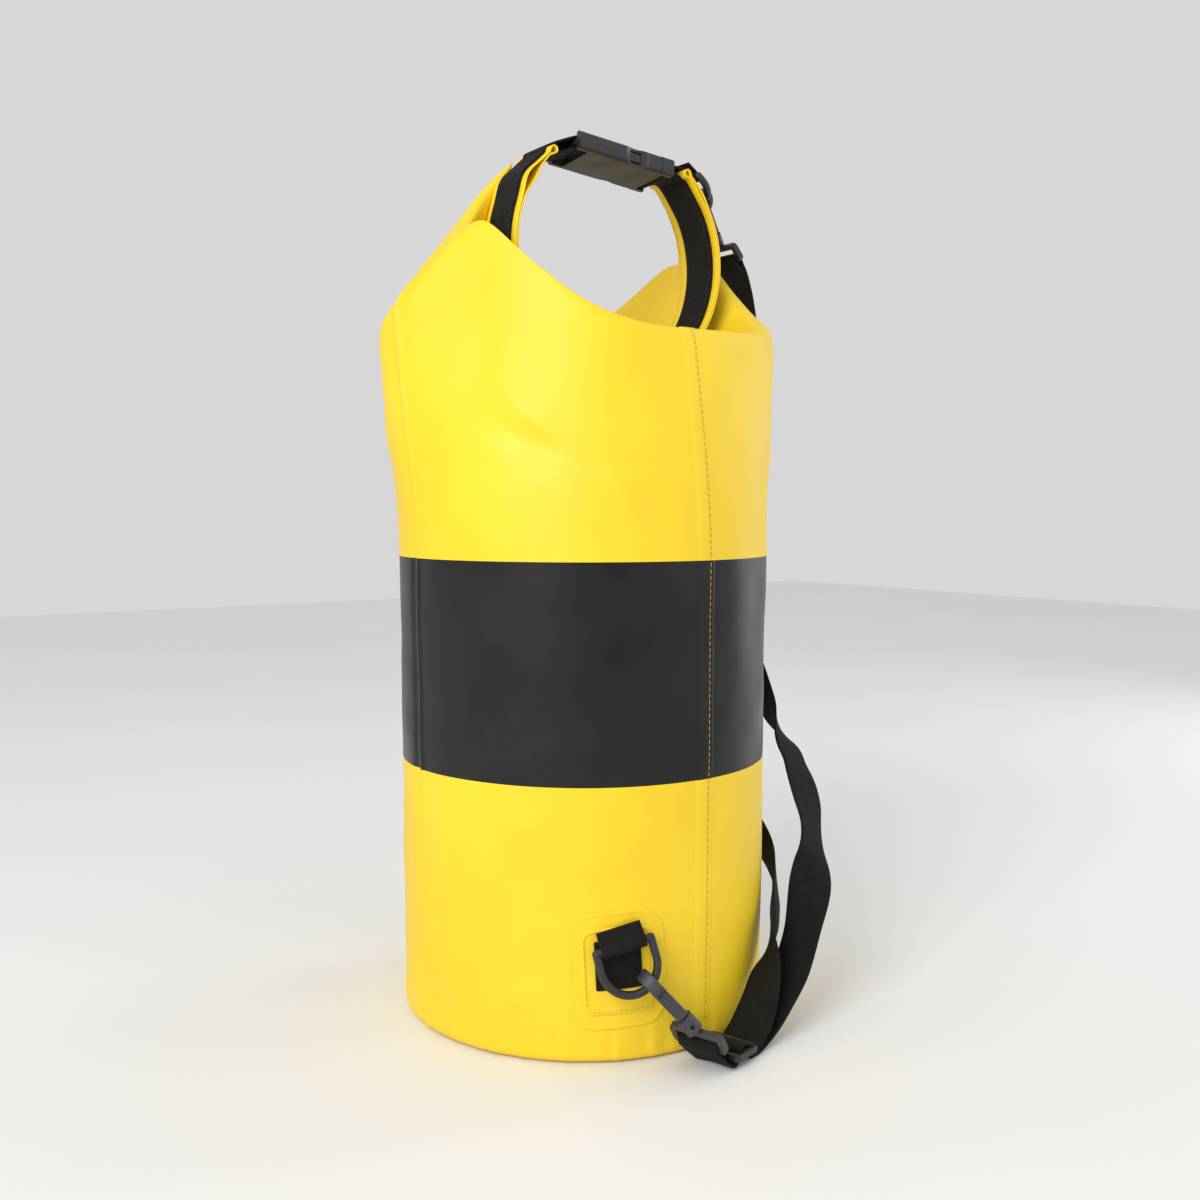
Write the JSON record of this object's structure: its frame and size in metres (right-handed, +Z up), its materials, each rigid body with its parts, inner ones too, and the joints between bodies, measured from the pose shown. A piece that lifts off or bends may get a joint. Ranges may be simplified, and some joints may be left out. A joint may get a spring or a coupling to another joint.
{
  "type": "roll-top dry bag",
  "caption": "Cylindrical roll-top dry bag of coated fabric with a contrasting middle band, buckled ring handle, front D-ring patch and a webbing shoulder strap on snap hooks.",
  "frame": {"origin": "centre of the round base, on the surface it stands on", "axes": "+Z up along the bag's axis, -Y towards the front with the D-ring patch and the mouth's free edge, +X towards the side that the strap hangs on"},
  "size_m": [0.2546, 0.2561, 0.5141],
  "materials": {
    "yellow_pvc": "semi-gloss coated tarpaulin",
    "black_pvc": "satin coated tarpaulin",
    "webbing": "woven polyester webbing",
    "black_plastic": "moulded acetal",
    "grey_plastic": "moulded acetal, slightly grey"
  },
  "bodies": {
    "bag": {"base_disc": "yellow_pvc", "lower_panel": "yellow_pvc", "band_panel": "black_pvc", "upper_panel": "yellow_pvc", "seam_tape": "yellow_pvc", "inner_webbing": "webbing", "back_lip": "yellow_pvc", "front_lip": "yellow_pvc", "outer_webbing": "webbing", "patch_outer": "yellow_pvc", "patch_inner": "yellow_pvc", "patch_webbing": "webbing", "lower_keeper": "webbing", "upper_keeper": "webbing", "upper_eye": "black_plastic", "buckle_socket": "black_plastic", "left_tab": "webbing", "right_tab": "webbing", "strap_main": "webbing", "strap_tail": "webbing", "strap_upper_fold": "webbing"},
    "upper_ring": {"upper_d_ring": "black_plastic"},
    "upper_hook": {"upper_hook": "black_plastic"},
    "upper_gate": {"upper_gate": "black_plastic"},
    "buckle_plug": {"buckle_plug": "black_plastic"},
    "arm_near": {"release_arm_near": "black_plastic"},
    "arm_far": {"release_arm_far": "black_plastic"},
    "lower_ring": {"lower_d_ring": "black_plastic"},
    "strap_end": {"lower_eye": "grey_plastic", "strap_lower_fold": "webbing", "strap_loop": "webbing"},
    "slider": {"slider": "black_plastic"},
    "lower_hook": {"lower_hook": "grey_plastic"},
    "lower_gate": {"lower_gate": "grey_plastic"}
  },
  "joints": [
    {"name": "buckle_slide", "type": "slide", "parent": "bag", "child": "buckle_plug", "axis": [0.9942, 0, -0.108], "range_m": [0, 0.008], "deforming": ["right_tab"]},
    {"name": "near_arm_press", "type": "hinge", "parent": "buckle_plug", "child": "arm_near", "pos_m": [0.02836, -0.03724, 0.5021], "axis": [-0.1074, -0.1039, -0.9888], "range_deg": [0, 6], "stiffness_Nm_per_rad": 0.05},
    {"name": "far_arm_press", "type": "hinge", "parent": "buckle_plug", "child": "arm_far", "pos_m": [0.02811, -0.01476, 0.49977], "axis": [0.1074, 0.1039, 0.9888], "range_deg": [0, 6], "stiffness_Nm_per_rad": 0.05},
    {"name": "lower_ring_swing", "type": "hinge", "parent": "bag", "child": "lower_ring", "pos_m": [-0.04598, -0.10672, 0.0659], "axis": [0.8844, -0.3938, 0.2504], "range_deg": [-2, 2]},
    {"name": "strap_end_swing", "type": "hinge", "parent": "bag", "child": "strap_end", "pos_m": [-0.03503, -0.11616, 0.04632], "axis": [-0.4067, -0.9135, 0], "range_deg": [0, 18], "deforming": ["strap_main", "strap_tail"]},
    {"name": "slider_slide", "type": "slide", "parent": "strap_end", "child": "slider", "axis": [0.9539, 0.3, 0], "range_m": [0, 0.0025], "deforming": ["strap_loop"]},
    {"name": "lower_hook_swivel", "type": "hinge", "parent": "strap_end", "child": "lower_hook", "pos_m": [-0.03503, -0.11616, 0.04632], "axis": [0.5862, -0.3558, -0.7279], "range_deg": [-10, 10]},
    {"name": "lower_gate_press", "type": "hinge", "parent": "lower_hook", "child": "lower_gate", "pos_m": [-0.02501, -0.11558, 0.03598], "axis": [0.708, -0.2119, 0.6737], "range_deg": [0, 5], "stiffness_Nm_per_rad": 0.02},
    {"name": "upper_ring_swing", "type": "hinge", "parent": "bag", "child": "upper_ring", "pos_m": [0.0578, -0.026, 0.5003], "axis": [0, 1, 0], "range_deg": [-2, 2]},
    {"name": "upper_hook_swivel", "type": "hinge", "parent": "bag", "child": "upper_hook", "pos_m": [0.07236, -0.026, 0.48938], "axis": [0.5993, 0.2447, -0.7622], "range_deg": [-10, 10]},
    {"name": "upper_gate_press", "type": "hinge", "parent": "upper_hook", "child": "upper_gate", "pos_m": [0.07571, -0.02277, 0.47573], "axis": [-0.1513, 0.9696, 0.1924], "range_deg": [0, 5], "stiffness_Nm_per_rad": 0.02}
  ]
}
